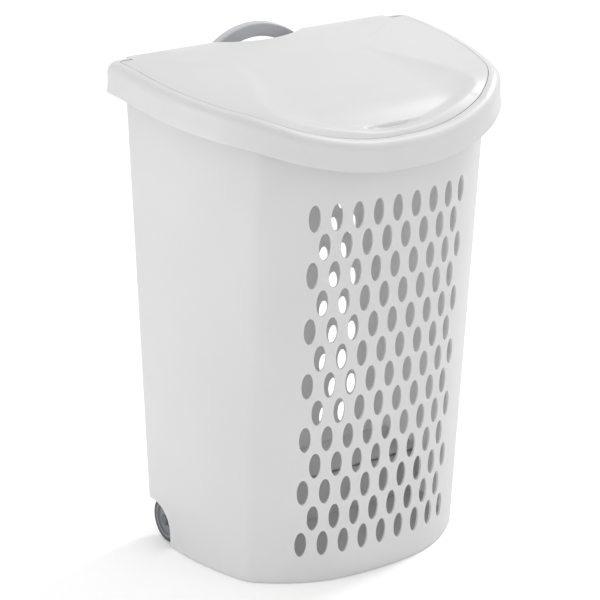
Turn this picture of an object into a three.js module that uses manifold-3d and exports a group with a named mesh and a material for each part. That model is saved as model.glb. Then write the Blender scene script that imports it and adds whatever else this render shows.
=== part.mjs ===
// Laundry hamper: a perforated D-shaped tub on two wheels, with a snap-on collar,
// a hinged lid and a pull-up trolley handle. Millimetres, +Z up, front towards -Y,
// origin under the middle of the whole object.
import * as THREE from 'three';
import { mergeVertices } from 'three/addons/utils/BufferGeometryUtils.js';
import Module from 'manifold-3d';

const wasm = await Module();
wasm.setup();

// Driving dimensions.
const wall = 3;
const clearance = 0.4;

const tub = {
  height: 664,
  base: { front: -122, creaseX: 167.7, creaseY: -58.4, side: 197.8, flankEnd: 107.9, back: 140.5, corner: 8 },
  mouth: { front: -164, creaseX: 175.7, creaseY: -107, side: 219, flankEnd: 119, back: 145.5, corner: 8 },
  frontCurve: 2.6,
  sideCurve: 0.45,
  floor: 4,
  edgeAboveSkirt: 30,
  skirtLead: 1.17,
};

const frontHoles = {
  width: 15.3, height: 35.9, top: 514, pitch: 38, rows: 13, across: 28.6, most: 9, drill: 30,
};
const backHoles = {
  width: 16, height: 30, top: 504.9, pitch: 39.7, rows: 11, first: 90.9, across: 31.5, perSide: 2, drill: 60,
};

const rim = {
  front: -180.4, shoulderX: 194.1, shoulderY: -121.3, side: 240.4, flankEnd: 80,
  back: 164.6, corner: 24, innerCorner: 8,
};
const rimCurve = 2.4;
const shoulderRound = { from: 0.76, to: 0.22 };
const collarHeight = 38;
const collarLevel = { base: 631, slope: 0.085, slopeFrom: 120, dip: 0.004, dipFrom: -90 };
const hingeGap = { halfWidth: 205, from: 138, level: 645 };
const hingeBar = { halfWidth: 207, back: 163.4, foot: 634 };
const handleNotch = { halfWidth: 68, from: 139 };

const lidEdge = 17;
const lidThickness = 3;
const lidRear = 163;
const lidHeel = { from: 203, back: 143 };
const dish = { from: 76, to: -100, depth: 9, inner: 88, outerBack: 95, outerFront: 152 };
const dishLip = { end: -160, rise: 20, curl: 0.0018 };

const hinge = { y: 157, z: 659, pinRadius: 2, barrelRadius: 4.4, from: 151, to: 189, ear: 6, earRadius: 5 };
const pinPlay = 0.3;

const wheelPlace = { y: 109, z: 32 };
const wheelSize = { radius: 32, tread: 6, inner: 172, outer: 191, boss: 9 };
const axleRadius = 4;
const wheelBay = { from: 52, height: 66, arch: 85, archTop: 59, archRound: 35, backHalfWidth: 185 };
const axleRib = { inner: 156, outer: 160, from: 51, to: 128 };
const cap = { radius: 7.5, gap: 0.6, thick: 2.2 };

const handle = {
  y: 175.5, halfWidth: 72, depth: 14, legBottom: 636, legWidth: 18, spring: 655, apex: 684, thick: 19,
};
const rail = { x: 63, radius: 5, bottom: 62 };
const guides = { upper: 590, lower: 350, height: 22, width: 24, back: 182.5, plate: 4, arm: 8, skirt: 6 };
const stop = { radius: 7, height: 14 };

// Reach of the cutting blocks, past every side of the object.
const beyond = 300;
const overhead = 900;
const below = -10;

// Materials.
const finish = (color, roughness, metalness) =>
  new THREE.MeshStandardMaterial({ color, roughness, metalness });
const whiteMoulding = () => finish(0xeeeff0, 0.38, 0);
const greyMoulding = () => finish(0x9b9ca0, 0.45, 0);
const tyreRubber = () => finish(0x4a4b4e, 0.7, 0);
const zincSteel = () => finish(0xb4b6b8, 0.35, 1);

// Solids: three.js geometry in and out of the boolean library.
function toSolid(geometry) {
  const bare = geometry.index ? geometry.toNonIndexed() : geometry.clone();
  bare.deleteAttribute('normal');
  bare.deleteAttribute('uv');
  const merged = mergeVertices(bare, 1e-4);
  const index = merged.index.array;
  const kept = [];
  for (let i = 0; i < index.length; i += 3) {
    const [a, b, c] = [index[i], index[i + 1], index[i + 2]];
    if (a !== b && b !== c && c !== a) {
      kept.push(a, b, c);
    }
  }
  const vertProperties = new Float32Array(merged.attributes.position.array);
  const triVerts = new Uint32Array(kept);
  return new wasm.Manifold(new wasm.Mesh({ numProp: 3, vertProperties, triVerts }));
}

function toGeometry(solid) {
  const mesh = solid.getMesh();
  const geometry = new THREE.BufferGeometry();
  const places = new Float32Array(mesh.vertProperties);
  geometry.setAttribute('position', new THREE.BufferAttribute(places, 3));
  geometry.setIndex(new THREE.BufferAttribute(new Uint32Array(mesh.triVerts), 1));
  geometry.computeVertexNormals();
  return geometry;
}

function named(name, solid, material) {
  const mesh = new THREE.Mesh(toGeometry(solid), material);
  mesh.name = name;
  return mesh;
}

// A box between two corners.
function block(x0, x1, y0, y1, z0, z1) {
  const geometry = new THREE.BoxGeometry(x1 - x0, y1 - y0, z1 - z0);
  geometry.translate((x0 + x1) / 2, (y0 + y1) / 2, (z0 + z1) / 2);
  return toSolid(geometry);
}

// A round bar along X, between two places.
function barAlongX(radius, x0, x1, y, z, sides) {
  const geometry = new THREE.CylinderGeometry(radius, radius, x1 - x0, sides);
  geometry.rotateZ(Math.PI / 2);
  geometry.translate((x0 + x1) / 2, y, z);
  return toSolid(geometry);
}

// An upright round bar, between two heights.
function barAlongZ(radius, x, y, z0, z1, sides) {
  const geometry = new THREE.CylinderGeometry(radius, radius, z1 - z0, sides);
  geometry.rotateX(Math.PI / 2);
  geometry.translate(x, y, (z0 + z1) / 2);
  return toSolid(geometry);
}

// A profile drawn in the Y-Z plane and pushed out along X.
function pushedAlongX(points, x0, x1) {
  const options = { depth: x1 - x0, bevelEnabled: false };
  const geometry = new THREE.ExtrudeGeometry(new THREE.Shape(points), options);
  geometry.rotateY(Math.PI / 2);
  geometry.rotateX(Math.PI / 2);
  geometry.translate(x0, 0, 0);
  return toSolid(geometry);
}

// A whole closed outline from its right half, which runs from front middle to back middle.
function mirrored(half) {
  const left = half.slice(1, -1).reverse().map((point) => new THREE.Vector2(-point.x, point.y));
  return [...half, ...left];
}

// The D of the tub at one level: a front that tightens towards a crease on each side,
// a side that swells to full width, and a flat back with round corners.
function tubPlan(level, inset) {
  const at = (key) => tub.base[key] + (tub.mouth[key] - tub.base[key]) * level;
  const front = at('front') + inset;
  const creaseX = at('creaseX') - inset;
  const creaseY = at('creaseY') + inset * 0.6;
  const side = at('side') - inset;
  const back = at('back') - inset;
  const corner = at('corner') - inset;
  const half = [];
  const frontSteps = 9;
  for (let i = 0; i < frontSteps; i += 1) {
    const x = (creaseX * i) / frontSteps;
    half.push(new THREE.Vector2(x, front + (creaseY - front) * (x / creaseX) ** tub.frontCurve));
  }
  const start = new THREE.Vector2(creaseX, creaseY);
  const end = new THREE.Vector2(side, at('flankEnd'));
  const swell = new THREE.Vector2(side, creaseY + (end.y - creaseY) * tub.sideCurve);
  half.push(...new THREE.QuadraticBezierCurve(start, swell, end).getPoints(5));
  const bend = new THREE.EllipseCurve(side - corner, back - corner, corner, corner, 0, Math.PI / 2);
  half.push(...bend.getPoints(3));
  half.push(new THREE.Vector2(0, back));
  return mirrored(half);
}

// A solid between two levels of the tub's plan, wall faces straight between them.
function tubLoft(inset, z0, z1) {
  const lower = tubPlan(z0 / tub.height, inset);
  const upper = tubPlan(z1 / tub.height, inset);
  const options = { depth: z1 - z0, bevelEnabled: false };
  const geometry = new THREE.ExtrudeGeometry(new THREE.Shape(lower), options);
  const position = geometry.attributes.position;
  for (let i = 0; i < position.count; i += 1) {
    if (position.getZ(i) > (z1 - z0) / 2) {
      const place = new THREE.Vector2(position.getX(i), position.getY(i));
      const nearest = lower.findIndex((point) => point.distanceTo(place) < 1e-3);
      position.setXY(i, upper[nearest].x, upper[nearest].y);
    }
  }
  geometry.translate(0, 0, z0);
  return toSolid(geometry);
}

// The collar's plan is the same kind of D, with a round shoulder where the tub has a crease.
// The whole outline can be moved out by some amount, or in when the amount is negative.
function rimPlan(out = 0) {
  const bends = [];
  const frontSteps = 8;
  const frontRun = (x) => rim.front + (rim.shoulderY - rim.front) * (x / rim.shoulderX) ** rimCurve;
  const roundFrom = shoulderRound.from * rim.shoulderX;
  for (let i = 0; i < frontSteps; i += 1) {
    const x = (roundFrom * i) / frontSteps;
    bends.push(new THREE.Vector2(x, frontRun(x)));
  }
  const shoulder = new THREE.Vector2(rim.shoulderX, rim.shoulderY);
  const end = new THREE.Vector2(rim.side, rim.flankEnd);
  const swell = new THREE.Vector2(rim.side, rim.shoulderY + (end.y - rim.shoulderY) * tub.sideCurve);
  const flank = new THREE.QuadraticBezierCurve(shoulder, swell, end);
  const roundStart = new THREE.Vector2(roundFrom, frontRun(roundFrom));
  const roundEnd = flank.getPoint(shoulderRound.to);
  bends.push(...new THREE.QuadraticBezierCurve(roundStart, shoulder, roundEnd).getPoints(4));
  const flankSteps = 5;
  for (let i = 1; i <= flankSteps; i += 1) {
    bends.push(flank.getPoint(shoulderRound.to + ((1 - shoulderRound.to) * i) / flankSteps));
  }
  const half = bends.map((point, i) => {
    const before = i === 0 ? new THREE.Vector2(-bends[1].x, bends[1].y) : bends[i - 1];
    const after = i === bends.length - 1 ? new THREE.Vector2(end.x, end.y + 1) : bends[i + 1];
    const run = after.clone().sub(before).normalize();
    return new THREE.Vector2(point.x + run.y * out, point.y - run.x * out);
  });
  half[half.length - 1].set(rim.side + out, end.y);
  const radius = Math.max(rim.corner + out, rim.innerCorner);
  const centre = new THREE.Vector2(rim.side + out - radius, rim.back + out - radius);
  const bend = new THREE.EllipseCurve(centre.x, centre.y, radius, radius, 0, Math.PI / 2);
  half.push(...bend.getPoints(5));
  half.push(new THREE.Vector2(0, rim.back + out));
  return mirrored(half);
}

// Height of the collar's lower edge: nearly level at the back, dipping to the front.
function collarLine(y) {
  const slope = collarLevel.slope * Math.max(0, collarLevel.slopeFrom - y);
  const dip = collarLevel.dip * Math.max(0, collarLevel.dipFrom - y) ** 2;
  return collarLevel.base - slope - dip;
}

// A section swept round the collar's plan. The section is turned as a lathe would turn it,
// and each station of the turn is then moved to its place on the plan.
const lathedRadius = 1000;
function sweptRound(section, place, sink = () => 0) {
  const stations = rimPlan().length;
  const points = section.map(([out, up]) => new THREE.Vector2(lathedRadius + out, up));
  const geometry = new THREE.LatheGeometry(points, stations);
  const position = geometry.attributes.position;
  for (let i = 0; i < position.count; i += 1) {
    const station = Math.floor(i / points.length) % stations;
    const radius = Math.hypot(position.getX(i), position.getZ(i));
    const spot = place(station, radius - lathedRadius);
    position.setXYZ(i, spot.x, spot.y, position.getY(i) + spot.z - sink(spot));
  }
  return toSolid(geometry);
}

// The space above the tub's top edge, which stays just under the collar's ledge.
function aboveTub() {
  const points = [];
  for (let y = -beyond; y <= beyond; y += 10) {
    const skirtY = y < 0 ? y * tub.skirtLead : y;
    points.push(new THREE.Vector2(y, collarLine(skirtY) + tub.edgeAboveSkirt));
  }
  points.push(new THREE.Vector2(beyond, overhead), new THREE.Vector2(-beyond, overhead));
  return pushedAlongX(points, -beyond, beyond);
}

// An upright oval drill, pointing along the ground in a given direction.
function ovalDrill(x, y, z, turn, holes) {
  const geometry = new THREE.CylinderGeometry(0.5, 0.5, holes.drill, 6);
  geometry.scale(holes.width, 1, holes.height);
  geometry.rotateZ(turn);
  geometry.translate(x, y, z);
  return toSolid(geometry);
}

function frontDrills() {
  const drills = [];
  for (let row = 0; row < frontHoles.rows; row += 1) {
    const count = frontHoles.most - (row % 2);
    const z = frontHoles.top - row * frontHoles.pitch;
    const level = z / tub.height;
    const front = tub.base.front + (tub.mouth.front - tub.base.front) * level;
    const creaseX = tub.base.creaseX + (tub.mouth.creaseX - tub.base.creaseX) * level;
    const creaseY = tub.base.creaseY + (tub.mouth.creaseY - tub.base.creaseY) * level;
    for (let i = 0; i < count; i += 1) {
      const x = (i - (count - 1) / 2) * frontHoles.across;
      const reach = (Math.abs(x) / creaseX) ** tub.frontCurve;
      const y = front + (creaseY - front) * reach;
      const turn = x === 0 ? 0 : Math.atan((tub.frontCurve * (y - front)) / x);
      drills.push(ovalDrill(x, y, z, turn, frontHoles));
    }
  }
  return drills;
}

function backDrills() {
  const drills = [];
  const y = tub.mouth.back;
  for (let row = 0; row < backHoles.rows; row += 1) {
    const shift = (row % 2) * (backHoles.across / 2);
    const z = backHoles.top - row * backHoles.pitch;
    for (const side of [-1, 1]) {
      for (let i = 0; i < backHoles.perSide; i += 1) {
        const x = side * (backHoles.first + shift + i * backHoles.across);
        drills.push(ovalDrill(x, y, z, 0, backHoles));
      }
    }
  }
  return drills;
}

// Tub: tapered shell, ovals in front and back, a bay for the axle and wheel arches.
function makeTub() {
  const bayTop = wheelBay.height;
  const innerBay = block(-beyond, beyond, wheelBay.from - wall, beyond, below, bayTop + wall);
  const cavity = tubLoft(wall, tub.floor, tub.height + wall).subtract(innerBay);
  let body = tubLoft(0, 0, tub.height).subtract(cavity);
  const behind = block(-beyond, beyond, wheelBay.from, beyond, below, bayTop);
  const bay = tubLoft(wall, below, bayTop).intersect(behind);
  const { backHalfWidth } = wheelBay;
  const backFrom = tub.base.back - tub.base.corner;
  const bayBack = block(-backHalfWidth, backHalfWidth, backFrom, beyond, below, bayTop);
  body = body.subtract(bay).subtract(bayBack);
  const arch = [
    new THREE.Vector2(wheelBay.arch, below),
    new THREE.Vector2(beyond, below),
    new THREE.Vector2(beyond, wheelBay.archTop),
  ];
  const { archRound } = wheelBay;
  const centreY = wheelBay.arch + archRound;
  const centreZ = wheelBay.archTop - archRound;
  const round = new THREE.EllipseCurve(centreY, centreZ, archRound, archRound, Math.PI / 2, Math.PI);
  arch.push(...round.getPoints(6));
  body = body.subtract(pushedAlongX(arch, -beyond, beyond));
  for (const side of [-1, 1]) {
    const ribs = [side * axleRib.inner, side * axleRib.outer].sort((a, b) => a - b);
    body = body.add(block(ribs[0], ribs[1], axleRib.from, axleRib.to, tub.floor, bayTop + 1));
  }
  const boreReach = wheelSize.inner;
  const axleBore = barAlongX(axleRadius + clearance, -boreReach, boreReach, wheelPlace.y, wheelPlace.z, 16);
  body = body.subtract(axleBore);
  body = body.subtract(aboveTub());
  for (const drill of [...frontDrills(), ...backDrills()]) {
    body = body.subtract(drill);
  }
  return named('tub', body, whiteMoulding());
}

// Collar: flared skirt, round shoulder and an inner ledge, which sits on the tub and carries the lid.
function makeRim() {
  const section = [
    [2, 0], [0.5, 7], [0, 30], [-2.5, 35.4], [-8, collarHeight], [-16, collarHeight],
    [-16, 33.8], [-28, 33.8], [-28, 31.2], [-13.5, 31.2],
    [-13.5, 35], [-8, 35], [-5, 33], [-2.6, 29], [-2.2, 7], [-0.6, 0], [2, 0],
  ];
  const skirtLine = rimPlan();
  let body = sweptRound(section, (station, out) => {
    const spot = rimPlan(out)[station];
    return new THREE.Vector3(spot.x, spot.y, collarLine(skirtLine[station].y));
  });
  const gap = hingeGap;
  body = body.subtract(block(-gap.halfWidth, gap.halfWidth, gap.from - 2, beyond, gap.level, overhead));
  const { halfWidth, back, foot } = hingeBar;
  body = body.add(block(-halfWidth, halfWidth, tub.mouth.back + clearance, back, foot, gap.level));
  for (const side of [-1, 1]) {
    for (const edge of [hinge.from - clearance - hinge.ear, hinge.to + clearance]) {
      const ends = [side * edge, side * (edge + hinge.ear)].sort((a, b) => a - b);
      const { y, z, earRadius } = hinge;
      const post = block(ends[0], ends[1], y - earRadius, y + earRadius, gap.level - 1, z);
      body = body.add(post).add(barAlongX(earRadius, ends[0], ends[1], y, z, 16));
    }
    const bore = [side * (hinge.from - 11), side * (hinge.to + 11)].sort((a, b) => a - b);
    body = body.subtract(barAlongX(hinge.pinRadius + pinPlay, bore[0], bore[1], hinge.y, hinge.z, 12));
  }
  return named('rim_collar', body, whiteMoulding());
}

// The lid's middle sinks towards the front, between two slopes that widen as they go,
// and comes up again to a lip along the front edge.
function dishDepth(spot) {
  const along = THREE.MathUtils.clamp((dish.from - spot.y) / (dish.from - dish.to), 0, 1);
  const outer = dish.outerBack + (dish.outerFront - dish.outerBack) * along;
  const across = THREE.MathUtils.clamp((outer - Math.abs(spot.x)) / (outer - dish.inner), 0, 1);
  const lipEnd = dishLip.end + dishLip.curl * spot.x ** 2;
  const lip = THREE.MathUtils.clamp((spot.y - lipEnd) / dishLip.rise, 0, 1);
  return dish.depth * along * across * (2 - across) * lip;
}

// Lid: a plate that follows the collar's top, with a rear tongue, a bay for the handle,
// and two hinge barrels.
function makeLid() {
  const edges = rimPlan(-lidEdge);
  const centre = new THREE.Vector2(0, -10);
  const top = collarHeight;
  const underside = collarHeight - lidThickness;
  const rings = 6;
  const reaches = Array.from({ length: rings + 1 }, (_, i) => 1 - (1 - i / rings) ** 1.6);
  const section = reaches.map((reach) => [lathedRadius * (reach - 1), underside]);
  section.push(...reaches.toReversed().map((reach) => [lathedRadius * (reach - 1), top]));
  const skirtLine = rimPlan();
  let body = sweptRound(section, (station, out) => {
    const reach = 1 + out / lathedRadius;
    const spot = centre.clone().lerp(edges[station], reach);
    const lead = (skirtLine[station].y - edges[station].y) * reach ** 2;
    return new THREE.Vector3(spot.x, spot.y, collarLine(spot.y + lead));
  }, dishDepth);
  const rearTop = collarLevel.base + collarHeight;
  const tongue = hingeGap.halfWidth - 2;
  body = body.add(block(-tongue, tongue, hingeGap.from, lidRear, rearTop - lidThickness, rearTop));
  const notchDepth = lidRear - handleNotch.from;
  const notchRadius = (handleNotch.halfWidth ** 2 + notchDepth ** 2) / (2 * notchDepth);
  const notchY = handleNotch.from + notchRadius;
  body = body.subtract(barAlongZ(notchRadius, 0, notchY, collarLevel.base, overhead, 64));
  for (const side of [-1, 1]) {
    const ends = [side * lidHeel.from, side * beyond].sort((a, b) => a - b);
    body = body.subtract(block(ends[0], ends[1], lidHeel.back, beyond, collarLevel.base, overhead));
  }
  for (const side of [-1, 1]) {
    const ends = [side * hinge.from, side * hinge.to].sort((a, b) => a - b);
    const barrel = barAlongX(hinge.barrelRadius, ends[0], ends[1], hinge.y, hinge.z, 16);
    const web = block(ends[0], ends[1], hinge.y - 3, hinge.y + 3, hinge.z, rearTop - 1);
    const bore = barAlongX(hinge.pinRadius + pinPlay, ends[0] - 1, ends[1] + 1, hinge.y, hinge.z, 12);
    body = body.add(barrel).add(web).subtract(bore);
  }
  return named('lid', body, whiteMoulding());
}

function makeHingePin(name, side) {
  const reach = hinge.ear - 1;
  const ends = [side * (hinge.from - reach), side * (hinge.to + reach)].sort((a, b) => a - b);
  return named(name, barAlongX(hinge.pinRadius, ends[0], ends[1], hinge.y, hinge.z, 12), zincSteel());
}

// Handle grip: an arched bar on two short legs.
function makeGrip() {
  const { halfWidth, spring, apex, thick, legBottom } = handle;
  const rise = apex - spring;
  const radius = (halfWidth ** 2 + rise ** 2) / (2 * rise);
  const spread = Math.asin(halfWidth / radius);
  const centreZ = apex - radius;
  const up = Math.PI / 2;
  const outer = new THREE.EllipseCurve(0, centreZ, radius, radius, up - spread, up + spread);
  const legInner = halfWidth - handle.legWidth;
  const innerRadius = radius - thick;
  const innerSpread = Math.asin(legInner / innerRadius);
  const inner = new THREE.EllipseCurve(
    0, centreZ, innerRadius, innerRadius, up + innerSpread, up - innerSpread, true);
  const shape = new THREE.Shape([
    new THREE.Vector2(legInner, legBottom),
    new THREE.Vector2(halfWidth, legBottom),
    ...outer.getPoints(12),
    new THREE.Vector2(-halfWidth, legBottom),
    new THREE.Vector2(-legInner, legBottom),
    ...inner.getPoints(10),
  ]);
  const geometry = new THREE.ExtrudeGeometry(shape, { depth: handle.depth, bevelEnabled: false });
  geometry.rotateX(Math.PI / 2);
  geometry.translate(0, handle.y + handle.depth / 2, 0);
  return named('handle_grip', toSolid(geometry), greyMoulding());
}

function makeRail(name, side) {
  const top = handle.legBottom - clearance;
  const body = barAlongZ(rail.radius, side * rail.x, handle.y, rail.bottom + stop.height, top, 16);
  return named(name, body, greyMoulding());
}

function makeRailStop(name, side) {
  const top = rail.bottom + stop.height - clearance;
  return named(name, barAlongZ(stop.radius, side * rail.x, handle.y, rail.bottom, top, 16), greyMoulding());
}

// Rail guide: a bracket standing off the back wall, bored for the rail.
function makeGuide(name, side, z) {
  const top = z + guides.height;
  const wallFace = tub.base.back + ((tub.mouth.back - tub.base.back) * top) / tub.height;
  const centre = side * rail.x;
  const half = guides.width / 2;
  const { plate, arm, skirt } = guides;
  const plateFace = wallFace + plate;
  const pad = block(centre - half, centre + half, wallFace + clearance, plateFace, z - skirt, top);
  const web = block(centre - arm / 2, centre + arm / 2, plateFace - 1, handle.y - rail.radius, z, top);
  const ring = barAlongZ(guides.back - handle.y, centre, handle.y, z, top, 20);
  const bore = barAlongZ(rail.radius + clearance, centre, handle.y, z - 1, top + 1, 20);
  return named(name, pad.add(web).add(ring).subtract(bore), whiteMoulding());
}

// Wheel: a dished disc with a boss, and a tyre round it.
function makeWheel(name, side) {
  const rimRadius = wheelSize.radius - wheelSize.tread;
  const middle = (wheelSize.inner + wheelSize.outer) / 2;
  const half = (wheelSize.outer - wheelSize.inner) / 2;
  const bore = axleRadius + clearance;
  const { boss } = wheelSize;
  const lipInside = rimRadius - 4;
  const profile = [
    [bore, -half], [boss, -half], [boss, -3], [lipInside, -3],
    [lipInside, -half + 1], [rimRadius, -half + 1], [rimRadius, half - 1], [lipInside, half - 1],
    [lipInside, half - 4], [boss, half - 4], [boss, half], [bore, half], [bore, -half],
  ].map(([radius, along]) => new THREE.Vector2(radius, along));
  const geometry = new THREE.LatheGeometry(profile, 28);
  geometry.rotateZ(-side * Math.PI / 2);
  geometry.translate(side * middle, wheelPlace.y, wheelPlace.z);
  return named(name, toSolid(geometry), greyMoulding());
}

function makeTyre(name, side) {
  const seat = wheelSize.radius - wheelSize.tread + clearance;
  const middle = (wheelSize.inner + wheelSize.outer) / 2;
  const half = (wheelSize.outer - wheelSize.inner) / 2 - 1;
  const profile = [
    [seat, -half], [wheelSize.radius - 1.5, -half], [wheelSize.radius, -half + 2],
    [wheelSize.radius, half - 2], [wheelSize.radius - 1.5, half], [seat, half], [seat, -half],
  ].map(([radius, along]) => new THREE.Vector2(radius, along));
  const geometry = new THREE.LatheGeometry(profile, 28);
  geometry.rotateZ(Math.PI / 2);
  geometry.translate(side * middle, wheelPlace.y, wheelPlace.z);
  return named(name, toSolid(geometry), tyreRubber());
}

function makeAxle() {
  const reach = wheelSize.outer + 0.2;
  return named('axle', barAlongX(axleRadius, -reach, reach, wheelPlace.y, wheelPlace.z, 16), zincSteel());
}

function makeAxleCap(name, side) {
  const near = wheelSize.outer + cap.gap;
  const ends = [side * near, side * (near + cap.thick)].sort((a, b) => a - b);
  return named(name, barAlongX(cap.radius, ends[0], ends[1], wheelPlace.y, wheelPlace.z, 20), zincSteel());
}

const group = new THREE.Group();
group.add(makeTub(), makeRim(), makeLid(), makeGrip(), makeAxle());
for (const [word, side] of [['left', -1], ['right', 1]]) {
  group.add(
    makeHingePin(`lid_hinge_pin_${word}`, side),
    makeRail(`handle_rail_${word}`, side),
    makeRailStop(`rail_stop_${word}`, side),
    makeGuide(`rail_guide_upper_${word}`, side, guides.upper),
    makeGuide(`rail_guide_lower_${word}`, side, guides.lower),
    makeWheel(`wheel_${word}`, side),
    makeTyre(`tyre_${word}`, side),
    makeAxleCap(`axle_cap_${word}`, side),
  );
}

export default group;
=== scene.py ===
import math

import bmesh
import bpy
from mathutils import Matrix, Vector


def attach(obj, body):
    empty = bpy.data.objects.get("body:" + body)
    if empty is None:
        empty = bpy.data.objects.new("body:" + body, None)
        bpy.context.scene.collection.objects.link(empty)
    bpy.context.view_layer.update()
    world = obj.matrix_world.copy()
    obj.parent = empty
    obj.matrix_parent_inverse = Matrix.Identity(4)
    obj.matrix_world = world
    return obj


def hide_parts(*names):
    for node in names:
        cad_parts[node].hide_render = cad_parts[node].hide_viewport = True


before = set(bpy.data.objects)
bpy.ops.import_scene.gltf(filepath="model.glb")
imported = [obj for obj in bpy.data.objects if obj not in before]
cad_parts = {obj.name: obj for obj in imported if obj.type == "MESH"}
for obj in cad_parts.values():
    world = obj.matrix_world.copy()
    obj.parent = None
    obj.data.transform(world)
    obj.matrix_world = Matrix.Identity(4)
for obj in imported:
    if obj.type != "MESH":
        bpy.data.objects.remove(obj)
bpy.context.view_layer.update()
metre = 0.001  # shapes are drawn in millimetres and scaled once, when a piece is finished


def linearColour(hexText):
    channels = [int(hexText[i:i + 2], 16) / 255 for i in (1, 3, 5)]
    return [((c + 0.055) / 1.055) ** 2.4 if c > 0.04045 else c / 12.92 for c in channels] + [1.0]


def addNode(tree, kind, settings=None, links=None):
    node = tree.nodes.new(kind)
    for key, value in (settings or {}).items():
        if isinstance(key, int) or key in node.inputs:
            node.inputs[key].default_value = value
        else:
            setattr(node, key, value)
    for socket, source in (links or {}).items():
        tree.links.new(source, node.inputs[socket])
    return node


def blend(a, b, share):
    return a + (b - a) * share


def easeStep(low, high, value):
    share = min(1.0, max(0.0, (value - low) / (high - low)))
    return share * share * (3 - 2 * share)


# a flat sheet of nx by ny cells, every corner of it put in place by its column and row
def mappedGrid(bm, nx, ny, place):
    sheet = bmesh.ops.create_grid(bm, x_segments=nx, y_segments=ny, size=0.5)["verts"]
    for vert in sheet:
        vert.co = place(round((vert.co.x + 0.5) * nx), round((vert.co.y + 0.5) * ny))


# a profile of (radius, along) turned round Z, then laid where it belongs; corners already in bm are tagged
def turned(bm, profile, matrix, steps=48):
    verts = [bm.verts.new((radius, 0, along)) for radius, along in profile]
    edges = [bm.edges.new(pair) for pair in zip(verts, verts[1:])]
    bmesh.ops.spin(
        bm, geom=verts + edges, cent=(0, 0, 0), axis=(0, 0, 1), angle=math.tau, steps=steps, use_merge=True)
    bmesh.ops.remove_doubles(bm, verts=[v for v in bm.verts if not v.tag], dist=0.0005)
    fresh = [v for v in bm.verts if not v.tag]
    bmesh.ops.transform(bm, matrix=matrix, verts=fresh)
    for vert in fresh:
        vert.tag = True


# a box between two corners
def slab(bm, low, high):
    size = [b - a for a, b in zip(low, high)]
    middle = [(a + b) / 2 for a, b in zip(low, high)]
    made = bmesh.ops.create_cube(bm, size=1, matrix=Matrix.Translation(middle) @ Matrix.Diagonal(size + [1]))
    for vert in made["verts"]:
        vert.tag = True


# a finished mesh taken back into millimetres, so that more can be added to it
def reopened(piece):
    bm = bmesh.new()
    bm.from_mesh(piece.data)
    bpy.data.objects.remove(piece)
    bmesh.ops.scale(bm, vec=(1 / metre, 1 / metre, 1 / metre), verts=bm.verts)
    for vert in bm.verts:
        vert.tag = True
    return bm


def newObject(name, bm):
    bmesh.ops.scale(bm, vec=(metre, metre, metre), verts=bm.verts)
    bmesh.ops.recalc_face_normals(bm, faces=bm.faces)
    mesh = bpy.data.meshes.new(name)
    bm.to_mesh(mesh)
    bm.free()
    piece = bpy.data.objects.new(name, mesh)
    bpy.context.scene.collection.objects.link(piece)
    return piece


# makes the piece's modifiers part of its mesh
def settle(piece):
    bpy.context.view_layer.update()
    solved = piece.evaluated_get(bpy.context.evaluated_depsgraph_get())
    mesh = bpy.data.meshes.new_from_object(solved)
    piece.modifiers.clear()
    piece.data = mesh


# takes the block out of the piece, for good
def cutAway(piece, bm):
    cutter = newObject("cutter", bm)
    cut = piece.modifiers.new("cut", "BOOLEAN")
    cut.operation = "DIFFERENCE"
    cut.solver = "EXACT"
    cut.object = cutter
    settle(piece)
    bpy.data.objects.remove(cutter)


def finishPiece(piece, material, body, nodes, edge=0.0, segments=2, sharp=35):
    piece.data.materials.clear()
    piece.data.materials.append(material)
    for face in piece.data.polygons:
        face.use_smooth = True
        face.material_index = 0
    if edge:
        rounding = piece.modifiers.new("edges", "BEVEL")
        rounding.width = edge * metre
        rounding.segments = segments
        rounding.limit_method = "ANGLE"
        rounding.angle_limit = math.radians(sharp)
        rounding.harden_normals = True
        rounding.use_clamp_overlap = True
    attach(piece, body)
    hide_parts(*nodes)


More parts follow.
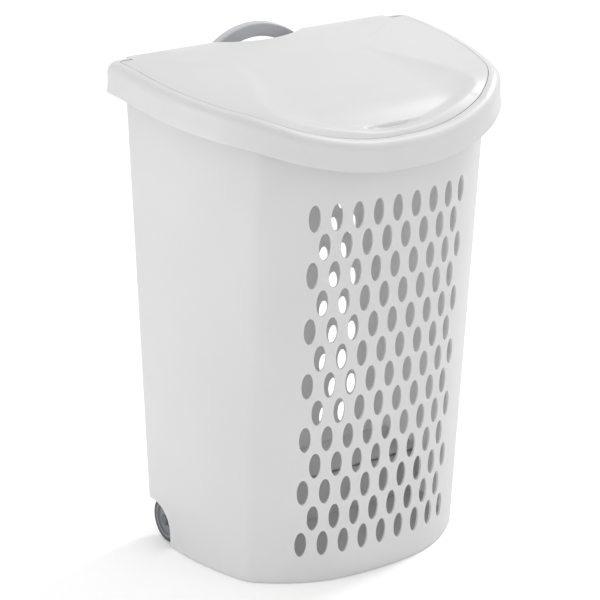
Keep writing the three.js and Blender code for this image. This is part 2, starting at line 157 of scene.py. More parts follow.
def mouldedPlastic(name, look):
    material = bpy.data.materials.new(name)
    material.use_nodes = True
    tree = material.node_tree
    tree.nodes.clear()
    where = addNode(tree, "ShaderNodeTexCoord").outputs["Object"]
    cloud = addNode(
        tree, "ShaderNodeTexNoise", {"Scale": look["cloudScale"], "Detail": 3.0}, {"Vector": where})
    tint = addNode(
        tree, "ShaderNodeMapRange", {"From Min": 0.35, "From Max": 0.65, "To Max": 1.0},
        {"Value": cloud.outputs[0]})
    body = addNode(
        tree, "ShaderNodeMix",
        {"data_type": "RGBA", 6: linearColour(look["colour"]), 7: linearColour(look["shade"])},
        {0: tint.outputs["Result"]})
    scuff = addNode(
        tree, "ShaderNodeTexNoise", {"Scale": look["scuffScale"], "Detail": 5.0, "Roughness": 0.65},
        {"Vector": where})
    edge = addNode(tree, "ShaderNodeNewGeometry").outputs["Pointiness"]
    rubbed = addNode(
        tree, "ShaderNodeMapRange", {"From Min": 0.51, "From Max": 0.62, "To Max": look["wear"]},
        {"Value": edge})
    patchy = addNode(
        tree, "ShaderNodeMath", {"operation": "MULTIPLY"}, {0: rubbed.outputs["Result"], 1: scuff.outputs[0]})
    worn = addNode(
        tree, "ShaderNodeMix", {"data_type": "RGBA", 7: linearColour(look["worn"])},
        {0: patchy.outputs["Value"], 6: body.outputs[2]})
    gloss = addNode(
        tree, "ShaderNodeMapRange",
        {"From Min": 0.3, "From Max": 0.7, "To Min": look["gloss"][0], "To Max": look["gloss"][1]},
        {"Value": scuff.outputs[0]})
    spark = addNode(
        tree, "ShaderNodeTexNoise", {"Scale": look["sparkScale"], "Detail": 2.0}, {"Vector": where})
    sink = addNode(tree, "ShaderNodeTexNoise", {"Scale": look["sinkScale"], "Detail": 1.0}, {"Vector": where})
    waves = addNode(
        tree, "ShaderNodeBump", {"Strength": 0.5, "Distance": look["sinkDepth"]}, {"Height": sink.outputs[0]})
    grain = addNode(
        tree, "ShaderNodeBump", {"Strength": 0.5, "Distance": look["sparkDepth"]},
        {"Height": spark.outputs[0], "Normal": waves.outputs["Normal"]})
    shader = addNode(
        tree, "ShaderNodeBsdfPrincipled", {"IOR": look["ior"], "Metallic": 0.0},
        {"Base Color": worn.outputs[2], "Roughness": gloss.outputs["Result"], "Normal": grain.outputs[0]})
    glow = addNode(tree, "ShaderNodeBsdfTranslucent", {"Color": linearColour(look["through"])})
    milky = addNode(
        tree, "ShaderNodeMixShader", {0: look["milkiness"]},
        {1: shader.outputs["BSDF"], 2: glow.outputs["BSDF"]})
    addNode(tree, "ShaderNodeOutputMaterial", {}, {"Surface": milky.outputs["Shader"]})
    return material


# injection-moulded polypropylene: satin, slightly milky, faint spark texture from the mould
whitePlastic = mouldedPlastic("white polypropylene, injection moulded", {
    "colour": "#e5e5e5", "shade": "#e1e1e1",
    "cloudScale": 5.0, "scuffScale": 45.0, "wear": 0.5, "worn": "#ededed",
    "gloss": (0.3, 0.4), "sparkScale": 1100.0, "sparkDepth": 0.00004,
    "sinkScale": 14.0, "sinkDepth": 0.0004,
    "ior": 1.49, "milkiness": 0.3, "through": "#f5f5f5",
})
# the same resin pigmented grey, handled often: a little shinier where hands polish it
greyPlastic = mouldedPlastic("grey polypropylene, injection moulded", {
    "colour": "#babbbe", "shade": "#b2b3b6",
    "cloudScale": 12.0, "scuffScale": 70.0, "wear": 0.6, "worn": "#bdbec1",
    "gloss": (0.34, 0.5), "sparkScale": 1300.0, "sparkDepth": 0.00005,
    "sinkScale": 30.0, "sinkDepth": 0.0003,
    "ior": 1.49, "milkiness": 0.0, "through": "#808080",
})
# drawn tube with a powder coat in grey
greyRail = mouldedPlastic("grey powder-coated tube, drawn", {
    "colour": "#9d9ea2", "shade": "#95969a",
    "cloudScale": 20.0, "scuffScale": 90.0, "wear": 0.7, "worn": "#b4b5b8",
    "gloss": (0.3, 0.42), "sparkScale": 800.0, "sparkDepth": 0.00003,
    "sinkScale": 60.0, "sinkDepth": 0.0001,
    "ior": 1.5, "milkiness": 0.0, "through": "#808080",
})
# darker grey and duller, scuffed by use
wheelPlastic = mouldedPlastic("grey polypropylene wheel, injection moulded", {
    "colour": "#76777b", "shade": "#6c6d71",
    "cloudScale": 25.0, "scuffScale": 120.0, "wear": 0.6, "worn": "#9fa0a3",
    "gloss": (0.4, 0.55), "sparkScale": 1400.0, "sparkDepth": 0.00005,
    "sinkScale": 50.0, "sinkDepth": 0.0002,
    "ior": 1.49, "milkiness": 0.0, "through": "#808080",
})
# soft tread ring, dusty where it meets the floor
tyreRubber = mouldedPlastic("thermoplastic rubber tread, moulded", {
    "colour": "#48494c", "shade": "#525356",
    "cloudScale": 60.0, "scuffScale": 160.0, "wear": 0.8, "worn": "#6d6e70",
    "gloss": (0.62, 0.82), "sparkScale": 1500.0, "sparkDepth": 0.00008,
    "sinkScale": 90.0, "sinkDepth": 0.0001,
    "ior": 1.52, "milkiness": 0.0, "through": "#808080",
})


def steelMaterial(name, look):
    material = bpy.data.materials.new(name)
    material.use_nodes = True
    tree = material.node_tree
    tree.nodes.clear()
    where = addNode(tree, "ShaderNodeTexCoord").outputs["Object"]
    spread = addNode(tree, "ShaderNodeMapping", {"Scale": (40, 1200, 1200)}, {"Vector": where})
    lathe = addNode(tree, "ShaderNodeTexNoise", {"Scale": 1.0, "Detail": 3.0}, {"Vector": spread.outputs[0]})
    cloud = addNode(tree, "ShaderNodeTexNoise", {"Scale": 150.0, "Detail": 4.0}, {"Vector": where})
    body = addNode(
        tree, "ShaderNodeMix",
        {"data_type": "RGBA", 6: linearColour(look["colour"]), 7: linearColour(look["stain"])},
        {0: cloud.outputs[0]})
    gloss = addNode(
        tree, "ShaderNodeMapRange", {"To Min": look["gloss"][0], "To Max": look["gloss"][1]},
        {"Value": cloud.outputs[0]})
    marks = addNode(
        tree, "ShaderNodeBump", {"Strength": 0.3, "Distance": 0.00002}, {"Height": lathe.outputs[0]})
    shader = addNode(
        tree, "ShaderNodeBsdfPrincipled", {"Metallic": 1.0},
        {"Base Color": body.outputs[2], "Roughness": gloss.outputs["Result"], "Normal": marks.outputs[0]})
    addNode(tree, "ShaderNodeOutputMaterial", {}, {"Surface": shader.outputs["BSDF"]})
    return material


# bluish plating with fine turning marks
zincSteel = steelMaterial("zinc-plated steel, turned", {
    "colour": "#b9bbbe", "stain": "#a3a39c", "gloss": (0.24, 0.44),
})
# dark, dull coat that takes the shine off the stamped caps
coatedSteel = steelMaterial("phosphate-coated steel, stamped", {
    "colour": "#707377", "stain": "#66686a", "gloss": (0.45, 0.6),
})
print("materials ready")


# the collar's plan, which the tub's top edge and the lid follow too
rim = {
    "front": -180.4, "shoulderX": 194.1, "shoulderY": -121.3, "side": 240.4, "flankEnd": 80,
    "back": 164.6, "corner": 24, "innerCorner": 8,
}


# height of the skirt's lower edge: level behind, then a slope, then a dip to the front
def collarLine(y):
    run = 120 - y
    slope = max(0, run) if abs(run) > 30 else (run + 30) ** 2 / 120
    return 631 - 0.085 * slope - 0.004 * max(0, -90 - y) ** 2


# a point along a quadratic curve
def bowed(start, control, end, share):
    return start * (1 - share) ** 2 + control * 2 * share * (1 - share) + end * share ** 2


# half an outline, front middle to back middle, and its mirror image
def closedOutline(half):
    return half + [Vector((-p.x, p.y, p.z)) for p in reversed(half[1:-1])]


def quarterTurn(steps):
    return [math.pi / 2 * i / steps for i in range(steps + 1)]


# half of the collar's outline, moved out by some amount; its corners keep a smallest radius
def rimHalf(out=0):
    roundFrom = 0.76 * rim["shoulderX"]
    rise = rim["shoulderY"] - rim["front"]
    onFront = lambda x: Vector((x, rim["front"] + rise * (x / rim["shoulderX"]) ** 2.4, 0))
    shoulder = Vector((rim["shoulderX"], rim["shoulderY"], 0))
    end = Vector((rim["side"], rim["flankEnd"], 0))
    swell = Vector((rim["side"], blend(shoulder.y, end.y, 0.45), 0))
    flank = lambda share: bowed(shoulder, swell, end, share)
    bends = [onFront(roundFrom * i / 44) for i in range(44)]
    bends += [bowed(onFront(roundFrom), shoulder, flank(0.22), i / 16) for i in range(16)]
    bends += [flank(blend(0.22, 1, i / 30)) for i in range(31)]
    before = [Vector((-bends[1].x, bends[1].y, 0))] + bends[:-1]
    after = bends[1:] + [end + Vector((0, 5, 0))]
    half = []
    for point, last, following in zip(bends, before, after):
        run = (following - last).normalized()
        half.append(point + Vector((run.y, -run.x, 0)) * out)
    half[-1] = Vector((rim["side"] + out, end.y, 0))
    radius = max(rim["corner"] + out, rim["innerCorner"])
    centre = Vector((rim["side"] + out - radius, rim["back"] + out - radius, 0))
    half += [Vector((rim["side"] + out, blend(end.y, centre.y, i / 3), 0)) for i in (1, 2)]
    half += [centre + Vector((math.cos(turn), math.sin(turn), 0)) * radius for turn in quarterTurn(10)]
    half += [Vector((blend(centre.x, 0, i / 30), rim["back"] + out, 0)) for i in range(1, 31)]
    return half


tub = {
    "height": 664, "frontCurve": 2.6, "sideCurve": 0.45, "wall": 3, "holeStart": 153.9, "holeEnd": 75.15,
    "base": {
        "front": -122, "creaseX": 167.7, "creaseY": -58.4, "side": 197.8, "flankEnd": 107.9, "back": 140.5,
        "corner": 8,
    },
    "mouth": {
        "front": -164, "creaseX": 175.7, "creaseY": -107, "side": 219, "flankEnd": 119, "back": 145.5,
        "corner": 8,
    },
}
# columns of the sheet at which each stretch of the half outline ends, front middle to back middle
ends = {
    "frontHoles": 18, "front": 24, "crease": 30, "side": 46, "straight": 48, "corner": 56,
    "blank": 59, "backHoles": 69, "middle": 75,
}
frontTile = {"cellX": 7.25, "cellZ": 4.75, "from": 39, "rows": 13, "most": 9, "hole": (15.3, 35.9)}
backTile = {"cellX": 7.875, "cellZ": 4.9625, "from": 88.05, "first": 14, "rows": 11, "hole": (16, 30)}
sheetRows = {"below": 6, "holes": 104, "above": 6}
# levels below the holes, each with how far the foot has turned in
footLevels = [(0, 0), (28, 0), (16, 0), (8, 0), (3.6, 0.3), (1.2, 1.5), (0, 3.8)]
topOfHoles = 533
skirtLead = 1.17  # the collar stands this many times as far forward as the tub


# places across the front at even distances along its curve, measured half way up
def frontPlaces():
    places = [0.0]
    x = 0.0
    travelled = 0.0
    reach = 171.6
    depth = 60.4
    while len(places) <= ends["frontHoles"]:
        slope = tub["frontCurve"] * depth / reach * (x / reach) ** (tub["frontCurve"] - 1)
        x += 0.05
        travelled += 0.05 * math.hypot(1, slope)
        if travelled >= frontTile["cellX"] * len(places):
            places.append(x)
    return places


frontX = frontPlaces()


# a point of the tub's skin: columns run from the front middle, 0, to the back middle on either side
def tubPoint(column, z):
    i = abs(column)
    level = z / tub["height"]
    at = {key: blend(tub["base"][key], tub["mouth"][key], level) for key in tub["base"]}
    depth = at["creaseY"] - at["front"]
    onFront = lambda x: Vector((x, at["front"] + depth * (x / at["creaseX"]) ** tub["frontCurve"], z))
    crease = Vector((at["creaseX"], at["creaseY"], z))
    end = Vector((at["side"], at["flankEnd"], z))
    cornerY = at["back"] - at["corner"]
    swell = Vector((at["side"], blend(crease.y, end.y, tub["sideCurve"]), z))
    onSide = lambda share: bowed(crease, swell, end, share)
    if i <= ends["frontHoles"]:
        point = onFront(frontX[i])
    elif i <= ends["front"]:
        share = (i - ends["frontHoles"]) / (ends["front"] - ends["frontHoles"])
        point = onFront(blend(frontX[-1], crease.x - 6, share))
    elif i <= ends["crease"]:
        share = (i - ends["front"]) / (ends["crease"] - ends["front"])
        point = bowed(onFront(crease.x - 6), crease, onSide(0.045), share)
    elif i <= ends["side"]:
        share = (i - ends["crease"]) / (ends["side"] - ends["crease"])
        point = onSide(blend(0.045, 1, share))
    elif i <= ends["straight"]:
        share = (i - ends["side"]) / (ends["straight"] - ends["side"])
        point = Vector((at["side"], blend(end.y, cornerY, share), z))
    elif i <= ends["corner"]:
        turn = math.pi / 2 * (i - ends["straight"]) / (ends["corner"] - ends["straight"])
        centre = Vector((at["side"] - at["corner"], cornerY, z))
        point = centre + Vector((math.cos(turn), math.sin(turn), 0)) * at["corner"]
    elif i <= ends["blank"]:
        share = (i - ends["corner"]) / (ends["blank"] - ends["corner"])
        point = Vector((blend(at["side"] - at["corner"], tub["holeStart"], share), at["back"], z))
    elif i <= ends["backHoles"]:
        point = Vector((tub["holeStart"] - backTile["cellX"] * (i - ends["blank"]), at["back"], z))
    else:
        share = (i - ends["backHoles"]) / (ends["middle"] - ends["backHoles"])
        point = Vector((blend(tub["holeEnd"], 0, share), at["back"], z))
    if column < 0:
        point.x = -point.x
    return point


# the back's rows of holes are spaced a little wider and start higher than the front's
def backRowLevel(row):
    if row < backTile["first"]:
        return blend(frontTile["from"], backTile["from"], row / backTile["first"])
    level = backTile["from"] + backTile["cellZ"] * (row - backTile["first"])
    return level if row <= 102 else blend(524.75, topOfHoles, (row - 102) / 2)


def tubSurface(column, row):
    inset = 0
    if row < 0:
        z, inset = footLevels[-row]
    elif row <= sheetRows["holes"]:
        toBack = easeStep(ends["crease"], ends["corner"], abs(column))
        z = blend(frontTile["from"] + frontTile["cellZ"] * row, backRowLevel(row), toBack)
    else:
        share = (row - sheetRows["holes"]) / sheetRows["above"]
        y = tubPoint(column, 600).y
        z = blend(topOfHoles, collarLine(y * skirtLead if y < 0 else y) + 30, share)
    point = tubPoint(column, z)
    return Vector((point.x * (1 - inset / 170), point.y * (1 - inset / 130), point.z))


# one cell block with an oval in it: a rectangle of cells bridged to the oval's ring
def ovalTile(tile):
    bm = bmesh.new()
    mappedGrid(bm, 4, 8, lambda column, row: Vector((column - 2, row - 4, 0)))
    inner = [v for v in bm.verts if abs(v.co.x) < 1.5 and abs(v.co.y) < 3.5]
    bmesh.ops.delete(bm, geom=inner, context="VERTS")
    middles = [(e, e.verts[0].co + e.verts[1].co) for e in bm.edges]
    frameEdges = [e for e, twice in middles if abs(twice.x) > 3.9 or abs(twice.y) > 7.9]
    loose = [e for e in bm.edges if e not in frameEdges]
    bmesh.ops.delete(bm, geom=loose, context="EDGES")
    radii = (tile["hole"][0] / 2 / tile["cellX"], tile["hole"][1] / 2 / tile["cellZ"])
    oval = bmesh.ops.create_circle(
        bm, cap_ends=False, segments=24, radius=1, matrix=Matrix.Diagonal((radii[0], radii[1], 1, 1)))
    ring = list({edge for vert in oval["verts"] for edge in vert.link_edges})
    bmesh.ops.bridge_loops(bm, edges=[e for e in bm.edges if e in frameEdges] + ring)
    mesh = bpy.data.meshes.new("tile")
    bm.to_mesh(mesh)
    bm.free()
    return mesh


# sheet places of the ovals: rows set off by half a pitch on the front and in two strips behind
def holeCentres():
    centres = []
    for k in range(frontTile["rows"]):
        count = frontTile["most"] - k % 2
        centres += [("front", (i - (count - 1) / 2) * 4, 100 - 8 * k) for i in range(count)]
    for k in range(backTile["rows"]):
        for column in ((67, 63), (65, 61))[k % 2]:
            centres += [("back", column, 98 - 8 * k), ("back", -column, 98 - 8 * k)]
    return centres


# a cell's middle in columns and rows
def cellOf(face):
    middle = face.calc_center_median()
    return (round(middle.x * 2) / 2, round(middle.y * 2) / 2)


# the sheet laid flat in columns and rows, with the ovals' tiles in it
def buildTub():
    bm = bmesh.new()
    width = 2 * ends["middle"]
    height = sheetRows["below"] + sheetRows["holes"] + sheetRows["above"]
    mappedGrid(
        bm, width, height, lambda column, row: Vector((column - ends["middle"], row - sheetRows["below"], 0)))
    centres = holeCentres()
    cells = [(dx - 1.5, dy - 3.5) for dx in range(4) for dy in range(8)]
    covered = {(x + dx, y + dy) for _, x, y in centres for dx, dy in cells}
    under = [face for face in bm.faces if cellOf(face) in covered]
    bmesh.ops.delete(bm, geom=under, context="FACES")
    tiles = {"front": ovalTile(frontTile), "back": ovalTile(backTile)}
    for side, x, y in centres:
        known = set(bm.verts)
        bm.from_mesh(tiles[side])
        fresh = [v for v in bm.verts if v not in known]
        bmesh.ops.translate(bm, vec=(x, y, 0), verts=fresh)
    bmesh.ops.remove_doubles(bm, verts=bm.verts, dist=0.01)
    return bm


def alongRow(x, row):
    column = math.floor(x)
    near = tubSurface(column, row)
    return near.lerp(tubSurface(column + 1, row), x - column) if x - column > 1e-4 else near


# a sheet point that may lie between columns and rows, as the ovals' corners do
def betweenCells(x, y):
    row = math.floor(y)
    near = alongRow(x, row)
    return near.lerp(alongRow(x, row + 1), y - row) if y - row > 1e-4 else near


tubSheet = buildTub()
for vert in tubSheet.verts:
    vert.co = betweenCells(round(vert.co.x, 4), round(vert.co.y, 4))
bmesh.ops.remove_doubles(tubSheet, verts=tubSheet.verts, dist=0.02)
tubPiece = newObject("tub_shell", tubSheet)
skin = tubPiece.modifiers.new("wall", "SOLIDIFY")
skin.thickness = tub["wall"] * metre
skin.offset = -1
skin.use_even_offset = True
settle(tubPiece)

# the wheel arches: a long block with one edge rounded, taken out of both sides and the back
archBlock = bmesh.new()
slab(archBlock, (-300, 85, -10), (300, 300, 59))
archEdge = [e for e in archBlock.edges if all(abs(v.co.y - 85) < 1 and abs(v.co.z - 59) < 1 for v in e.verts)]
bmesh.ops.bevel(archBlock, geom=archEdge, offset=35, segments=14, profile=0.5, affect="EDGES", material=-1)
cutAway(tubPiece, archBlock)
backBlock = bmesh.new()
slab(backBlock, (-185, 130, -10), (185, 300, 66))
cutAway(tubPiece, backBlock)

# floor in front, a raised floor over the axle, and the step between them
inside = reopened(tubPiece)


# a plate that fills the tub's outline between two places, front to back
def floorPlate(level, thickness, low, high):
    plate = bmesh.new()
    ring = [plate.verts.new(tubPoint(column, level)) for column in range(-ends["middle"], ends["middle"])]
    plate.faces.new(ring)
    bmesh.ops.scale(plate, vec=(1 - 1.6 / 180, 1 - 1.6 / 130, 1), verts=plate.verts)
    for place, way in ((low, -1), (high, 1)):
        everything = plate.verts[:] + plate.edges[:] + plate.faces[:]
        bmesh.ops.bisect_plane(
            plate, geom=everything, plane_co=(0, place, 0), plane_no=(0, way, 0), clear_outer=True)
    grown = bmesh.ops.extrude_face_region(plate, geom=plate.faces[:])
    lifted = [v for v in grown["geom"] if isinstance(v, bmesh.types.BMVert)]
    bmesh.ops.translate(plate, vec=(0, 0, thickness), verts=lifted)
    bmesh.ops.recalc_face_normals(plate, faces=plate.faces)
    mesh = bpy.data.meshes.new("plate")
    plate.to_mesh(mesh)
    plate.free()
    inside.from_mesh(mesh)


floorPlate(0.4, 3.6, -300, 52)
floorPlate(66, 3, 49, 300)
slab(inside, (-192.6, 49, 0.4), (192.6, 52, 68))
for side in (-1, 1):
    x = sorted((side * 156, side * 160))
    slab(inside, (x[0], 51, 4), (x[1], 128, 67))
tubPiece = newObject("tub_shell", inside)
finishPiece(tubPiece, whitePlastic, "frame", ["tub"], edge=0.7)
print("tub built", len(tubPiece.data.polygons))


# the collar cut through, as (outward, up): skirt, rounded shoulder, lip with the lid's seat, and back down
def rimSection():
    section = [(2.0, 0), (1.3, 2.4), (0.8, 5), (0.4, 9), (0.1, 15), (0, 20), (0, 25)]
    for i in range(1, 10):
        turn = math.pi / 2 * i / 9
        section.append((-13 + 13 * math.cos(turn), 25 + 13 * math.sin(turn)))
    section += [(-16, 38), (-16, 33.8), (-22, 33.8), (-28, 33.8), (-28, 31.2), (-20, 31.2)]
    section += [(-13.5, 31.2), (-13.5, 34.6)]
    for i in range(1, 7):
        turn = math.pi / 2 * (1 - i / 6)
        section.append((-12.8 + 10 * math.cos(turn), 25 + 10 * math.sin(turn)))
    return section + [(-2.7, 20), (-2.4, 10), (-1.6, 4), (-0.6, 0)]


section = rimSection()
outlines = [closedOutline(rimHalf(out)) for out, up in section]
skirtPlan = closedOutline(rimHalf())


def rimPoint(station, level):
    outline = outlines[level % len(section)]
    spot = outline[station % len(outline)]
    skirt = skirtPlan[station % len(skirtPlan)]
    return Vector((spot.x, spot.y, section[level % len(section)][1] + collarLine(skirt.y)))


sweep = bmesh.new()
mappedGrid(sweep, len(outlines[0]), len(section), rimPoint)
bmesh.ops.remove_doubles(sweep, verts=sweep.verts, dist=0.001)
rimPiece = newObject("collar", sweep)
gapBlock = bmesh.new()  # room for the lid's hinge
slab(gapBlock, (-205, 136, 645), (205, 300, 900))
cutAway(rimPiece, gapBlock)
rimParts = reopened(rimPiece)
slab(rimParts, (-206.9, 146, 634.1), (206.9, 163.3, 645))
alongX = Matrix.Rotation(math.pi / 2, 4, "Y")
onHinge = Matrix.Translation((0, 157, 659)) @ alongX
for side in (-1, 1):
    for edge in (144.6, 189.4):
        low, high = sorted((side * edge, side * (edge + 6)))
        slab(rimParts, (low, 152, 644), (high, 162, 659))
        turned(rimParts, [(0, low), (5, low), (5, high), (0, high)], onHinge, 32)
rimPiece = newObject("collar", rimParts)
finishPiece(rimPiece, whitePlastic, "frame", ["rim_collar"], edge=0.8, segments=3)
print("collar built", len(rimPiece.data.polygons))


# the lid's back corners are cut away, so that they clear the collar as it turns
lid = {
    "edge": -17, "thickness": 3, "rings": 84, "centre": Vector((0, -10, 0)), "back": 163, "heelX": 203,
    "heelY": 143, "followTo": 120,
}
# a shallow dish with a slanted wall on either side, the lip that closes it, and a hollow for fingertips
dish = {"from": 76, "to": -100, "depth": 9, "inner": 88, "outerBack": 95, "outerFront": 152}
lip = {"end": -160, "curl": 0.0018, "rise": 20}
hollow = {"back": -141, "step": 1.8, "front": -159, "fade": 15, "half": 54, "depth": 3.2}


# how far the lid's top lies below a plain lid
def lidSink(x, y):
    along = easeStep(0, 1, (dish["from"] - y) / (dish["from"] - dish["to"]))
    outer = blend(dish["outerBack"], dish["outerFront"], along)
    across = min(1, max(0, (outer - abs(x)) / (outer - dish["inner"])))
    lipEnd = lip["end"] + lip["curl"] * x * x
    rise = easeStep(0, lip["rise"], y - lipEnd)
    scoop = easeStep(0, hollow["step"], hollow["back"] - y)
    scoop *= easeStep(hollow["front"], hollow["front"] + hollow["fade"], y)
    scoop *= max(0, 1 - (x / hollow["half"]) ** 2)
    return dish["depth"] * along * across * (2 - across) * rise + hollow["depth"] * scoop


# the outline of the plate; the third number is how far the skirt line runs ahead of it
def lidOutline():
    half = []
    for point, skirt in zip(rimHalf(lid["edge"]), rimHalf()):
        if point.y < lid["followTo"] or point.x > lid["heelX"] + 2:
            half.append(Vector((point.x, min(point.y, lid["heelY"]), skirt.y - point.y)))
    half += [Vector((lid["heelX"], blend(lid["heelY"], lid["back"], i / 6), 0)) for i in range(7)]
    half += [Vector((blend(lid["heelX"], 0, i / 40), lid["back"], 0)) for i in range(1, 41)]
    return closedOutline(half)


lidPlan = lidOutline()


def lidPoint(station, ring):
    reach = 1 - (1 - ring / lid["rings"]) ** 1.4
    edge = lidPlan[station % len(lidPlan)]
    spot = lid["centre"].lerp(edge, reach)
    level = collarLine(spot.y + edge.z * reach ** 2)
    return Vector((spot.x, spot.y, level + 38 - lidSink(spot.x, spot.y)))


lidSheet = bmesh.new()
mappedGrid(lidSheet, len(lidPlan), lid["rings"], lidPoint)
bmesh.ops.remove_doubles(lidSheet, verts=lidSheet.verts, dist=0.01)
bmesh.ops.recalc_face_normals(lidSheet, faces=lidSheet.faces)
if sum(face.normal.z for face in lidSheet.faces) < 0:
    bmesh.ops.reverse_faces(lidSheet, faces=lidSheet.faces)
bmesh.ops.scale(lidSheet, vec=(metre, metre, metre), verts=lidSheet.verts)
lidMesh = bpy.data.meshes.new("lid_panel")
lidSheet.to_mesh(lidMesh)
lidSheet.free()
lidPiece = bpy.data.objects.new("lid_panel", lidMesh)
bpy.context.scene.collection.objects.link(lidPiece)
plate = lidPiece.modifiers.new("plate", "SOLIDIFY")
plate.thickness = lid["thickness"] * metre
plate.offset = -1
settle(lidPiece)
# a shallow notch behind, so that fingers reach the handle
notch = {"half": 68, "deep": 24, "front": 139}
notchRadius = (notch["half"] ** 2 + notch["deep"] ** 2) / (2 * notch["deep"])
notchBlock = bmesh.new()
bmesh.ops.create_cone(
    notchBlock, cap_ends=True, segments=160, radius1=notchRadius, radius2=notchRadius, depth=300,
    matrix=Matrix.Translation((0, notch["front"] + notchRadius, 750)))
cutAway(lidPiece, notchBlock)
lidParts = reopened(lidPiece)
for side in (-1, 1):
    low, high = sorted((side * 151, side * 189))
    slab(lidParts, (low, 154, 659), (high, 160, 667.5))
    barrel = [(2.3, low), (4.4, low), (4.4, high), (2.3, high), (2.3, low)]
    turned(lidParts, barrel, onHinge, 32)
lidPiece = newObject("lid_panel", lidParts)
finishPiece(lidPiece, whitePlastic, "lid", ["lid"], edge=1.0, segments=3)
print("lid built", len(lidPiece.data.polygons))


# an arched grip on two legs that take the rails
grip = {"y": 175.5, "half": 72, "depth": 14, "foot": 636, "spring": 655, "apex": 684, "thick": 19, "leg": 18}
gripRise = grip["apex"] - grip["spring"]
grip["radius"] = (grip["half"] ** 2 + gripRise ** 2) / (2 * gripRise)
gripSteps = {"leg": 3, "arch": 36}


def gripPoint(column, row):
    inward = row / 2
    middle = gripSteps["leg"] + gripSteps["arch"] / 2
    place = column - middle
    way = 1 if place >= 0 else -1
    fromSpring = abs(place) - gripSteps["arch"] / 2
    radius = grip["radius"] - grip["thick"] * inward
    reach = grip["half"] - grip["leg"] * inward
    spread = math.asin(reach / radius)
    centreZ = grip["apex"] - grip["radius"]
    turn = spread * min(1, abs(place) / (gripSteps["arch"] / 2))
    x = radius * math.sin(turn)
    z = centreZ + radius * math.cos(turn)
    if fromSpring > 0:
        z = blend(z, grip["foot"], fromSpring / gripSteps["leg"])
    return Vector((way * x, grip["y"] - grip["depth"] / 2, z))


arch = bmesh.new()
mappedGrid(arch, gripSteps["arch"] + 2 * gripSteps["leg"], 2, gripPoint)
grown = bmesh.ops.extrude_face_region(arch, geom=arch.faces[:])
moved = [v for v in grown["geom"] if isinstance(v, bmesh.types.BMVert)]
bmesh.ops.translate(arch, vec=(0, grip["depth"], 0), verts=moved)
bmesh.ops.recalc_face_normals(arch, faces=arch.faces)
gripPiece = newObject("grip", arch)
finishPiece(
    gripPiece, greyPlastic, "handle", ["handle_grip"], edge=2.6, segments=5, sharp=50)
print("grip built")


# a piece that is one turned profile
def simplePiece(name, profile, matrix, material, body, nodes, steps=48, edge=0.4):
    bm = bmesh.new()
    turned(bm, profile, matrix, steps)
    piece = newObject(name, bm)
    finishPiece(piece, material, body, nodes, edge=edge)


railX = 63
for word, side in (("left", -1), ("right", 1)):
    onRail = Matrix.Translation((side * railX, grip["y"], 0))
    railProfile = [(0, 76), (5, 76), (5, 200), (5, 400), (5, 635.6), (0, 635.6)]
    simplePiece("rail_" + word, railProfile, onRail, greyRail, "handle", ["handle_rail_" + word])
    stopProfile = [(0, 62), (5.6, 62), (7, 63.4), (7, 68), (6.4, 69), (7, 70), (7, 75.6), (0, 75.6)]
    simplePiece(
        "stop_" + word, stopProfile, onRail, greyPlastic, "handle", ["rail_stop_" + word])
    for level, foot in (("upper", 590), ("lower", 350)):
        top = foot + 22
        wallFace = blend(tub["base"]["back"], tub["mouth"]["back"], top / tub["height"])
        bm = bmesh.new()
        slab(bm, (side * railX - 12, wallFace + 0.4, foot - 6), (side * railX + 12, wallFace + 4, top))
        slab(bm, (side * railX - 4, wallFace + 3, foot), (side * railX + 4, 170, top))
        ring = [(5.4, foot), (7, foot), (7, top), (5.4, top), (5.4, foot)]
        turned(bm, ring, onRail, 40)
        guide = newObject("guide_" + level + "_" + word, bm)
        finishPiece(
            guide, whitePlastic, "frame", ["rail_guide_" + level + "_" + word],
            edge=0.6)
    pin = sorted((side * 146, side * 194))
    pinProfile = [(0, pin[0]), (2, pin[0]), (2, pin[1]), (0, pin[1])]
    simplePiece(
        "hinge_pin_" + word, pinProfile, onHinge, zincSteel, "frame", ["lid_hinge_pin_" + word],
        steps=24)
print("handle, rails and guides built")


onAxle = Matrix.Translation((0, 109, 32)) @ alongX  # the wheels' centre line
wheelCentre = 181.5
axleProfile = [(0, -191.2), (4, -191.2), (4, 0), (4, 191.2), (0, 191.2)]
simplePiece("axle_bar", axleProfile, onAxle, zincSteel, "frame", ["axle"], steps=32)
for word, side in (("left", -1), ("right", 1)):
    outwardX = onAxle @ Matrix.Translation((0, 0, side * wheelCentre)) @ Matrix.Diagonal((1, 1, side, 1))
    disc = [
        (4.4, -9.5), (9, -9.5), (9, -3.2), (10, -2.6), (21.5, -2.6), (22, -8.5), (25.9, -8.5), (25.9, 8.5),
        (24.6, 8.5), (22.4, 8.1), (21.8, 6.2), (20.6, 5.4), (16, 5.4), (10.6, 6.2), (9.4, 7.2), (9, 9.4),
        (4.4, 9.4), (4.4, -9.5),
    ]
    bm = bmesh.new()
    turned(bm, disc, outwardX, 72)
    wheel = newObject("wheel_disc_" + word, bm)
    finishPiece(wheel, wheelPlastic, "wheel_" + word, ["wheel_" + word], edge=0.3)
    tread = [
        (26.3, -8.5), (30.2, -8.5), (31.4, -7.6), (32, -6.2), (32, -3.1), (31.4, -2.8), (31.4, -2.2),
        (32, -1.9), (32, 1.9), (31.4, 2.2), (31.4, 2.8), (32, 3.1), (32, 6.2), (31.4, 7.6), (30.2, 8.5),
        (26.3, 8.5), (26.3, -8.5),
    ]
    simplePiece(
        "tread_" + word, tread, outwardX, tyreRubber, "wheel_" + word, ["tyre_" + word], steps=96,
        edge=0.2)
    capProfile = [(0, 10.1), (7.5, 10.1), (7.5, 10.9), (6.2, 12.1), (4.6, 12.3), (4.2, 11.9), (0, 11.8)]
    simplePiece(
        "push_cap_" + word, capProfile, outwardX, coatedSteel, "frame", ["axle_cap_" + word],
        edge=0.15)
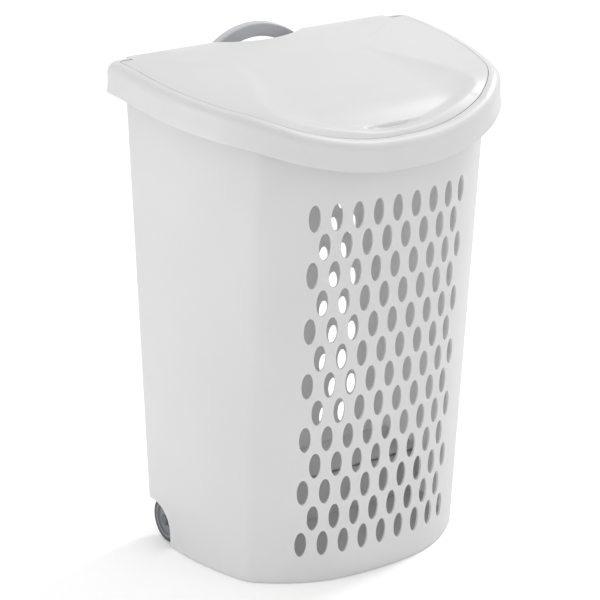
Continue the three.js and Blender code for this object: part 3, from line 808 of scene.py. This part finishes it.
print("wheels built")


# a wide white floor, just under the wheels
sweepFloor = bmesh.new()
mappedGrid(sweepFloor, 24, 24, lambda i, j: Vector((-9000 + 750 * i, -9000 + 750 * j, -0.2)))
floor = newObject("studio_floor", sweepFloor)
paper = bpy.data.materials.new("white paper sweep, matt")
paper.use_nodes = True
paperTree = paper.node_tree
paperTree.nodes.clear()
paperWhere = addNode(paperTree, "ShaderNodeTexCoord").outputs["Object"]
fibre = addNode(paperTree, "ShaderNodeTexNoise", {"Scale": 300.0, "Detail": 3.0}, {"Vector": paperWhere})
paperTone = addNode(
    paperTree, "ShaderNodeMix",
    {"data_type": "RGBA", 6: linearColour("#fafafa"), 7: linearColour("#f6f6f6")}, {0: fibre.outputs[0]})
paperShader = addNode(
    paperTree, "ShaderNodeBsdfPrincipled",
    {"Roughness": 0.9, "Specular IOR Level": 0.2, "Emission Color": (1, 1, 1, 1), "Emission Strength": 0.12},
    {"Base Color": paperTone.outputs[2]})
addNode(paperTree, "ShaderNodeOutputMaterial", {}, {"Surface": paperShader.outputs["BSDF"]})
floor.data.materials.append(paper)

# soft light from all round, a key box to the right and a weaker one to the left
world = bpy.data.worlds.new("studio")
bpy.context.scene.world = world
world.use_nodes = True
world.node_tree.nodes["Background"].inputs["Color"].default_value = (1, 1, 1, 1)
world.node_tree.nodes["Background"].inputs["Strength"].default_value = 0.89


def softBox(name, place, aim, size, watts):
    light = bpy.data.lights.new(name, "AREA")
    light.shape = "RECTANGLE"
    light.size = size[0]
    light.size_y = size[1]
    light.energy = watts
    lamp = bpy.data.objects.new(name, light)
    lamp.location = place
    lamp.rotation_euler = (Vector(aim) - Vector(place)).to_track_quat("-Z", "Y").to_euler()
    bpy.context.scene.collection.objects.link(lamp)


softBox("key_box", (2.2, 0.4, 2.5), (0, 0, 0.5), (0.9, 0.9), 50)
softBox("left_box", (-3.0, 0.9, 1.2), (0, 0, 0.3), (1.2, 1.6), 18)

camera = bpy.data.cameras.new("camera")
camera.lens = 147.54
camera.sensor_width = 36
camera.clip_end = 60
cameraObject = bpy.data.objects.new("camera", camera)
cameraObject.location = (-1.7390, -2.5059, 1.4618)
cameraObject.rotation_euler = (math.radians(90 - 20.13), 0, math.radians(-34.08))
bpy.context.scene.collection.objects.link(cameraObject)
bpy.context.scene.camera = cameraObject
bpy.context.scene.view_settings.view_transform = "Standard"
bpy.context.scene.view_settings.look = "None"
